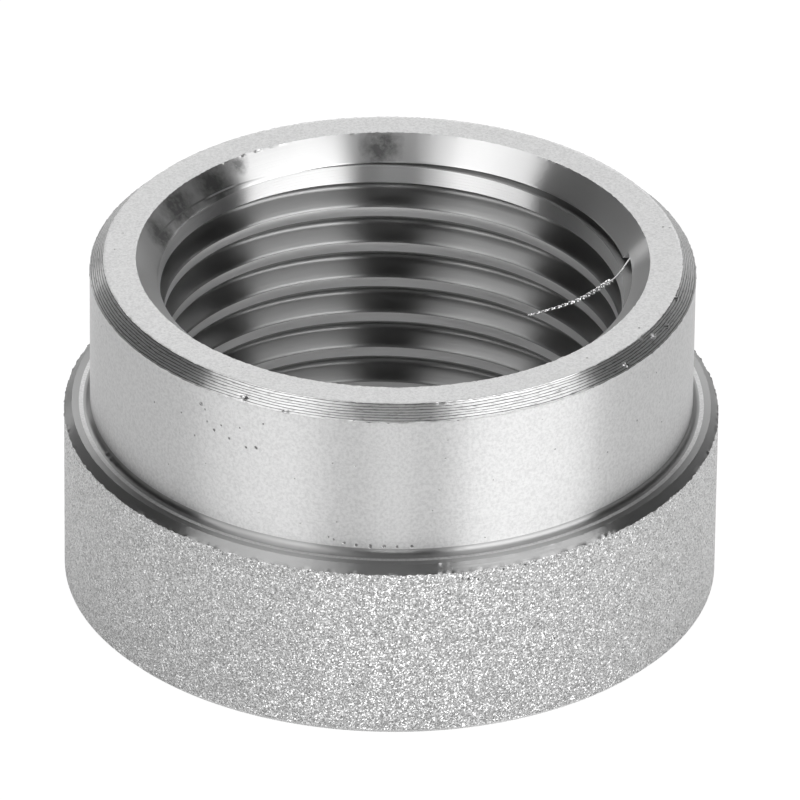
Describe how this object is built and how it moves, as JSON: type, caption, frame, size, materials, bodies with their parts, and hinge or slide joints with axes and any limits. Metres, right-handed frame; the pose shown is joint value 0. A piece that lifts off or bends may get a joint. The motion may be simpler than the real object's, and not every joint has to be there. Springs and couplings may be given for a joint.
{
  "type": "oxygen sensor weld bung",
  "caption": "Round stepped steel ring with a thick welding flange, a narrower plain neck and a fine internal thread right through, for screwing a gas sensor into an exhaust pipe.",
  "frame": {"origin": "centre of the flange's lower face, on the bore's axis", "axes": "+Z along the bore's axis, from the flange towards the neck; the part is round, and -Y faces the picture's camera"},
  "size_m": [0.024, 0.024, 0.013],
  "materials": {
    "turned_stainless_steel": "bright turned stainless steel, fine tool marks on the neck and faces, rougher bar skin on the flange's side"
  },
  "bodies": {
    "root": {"weld_bung": "turned_stainless_steel"}
  },
  "joints": []
}
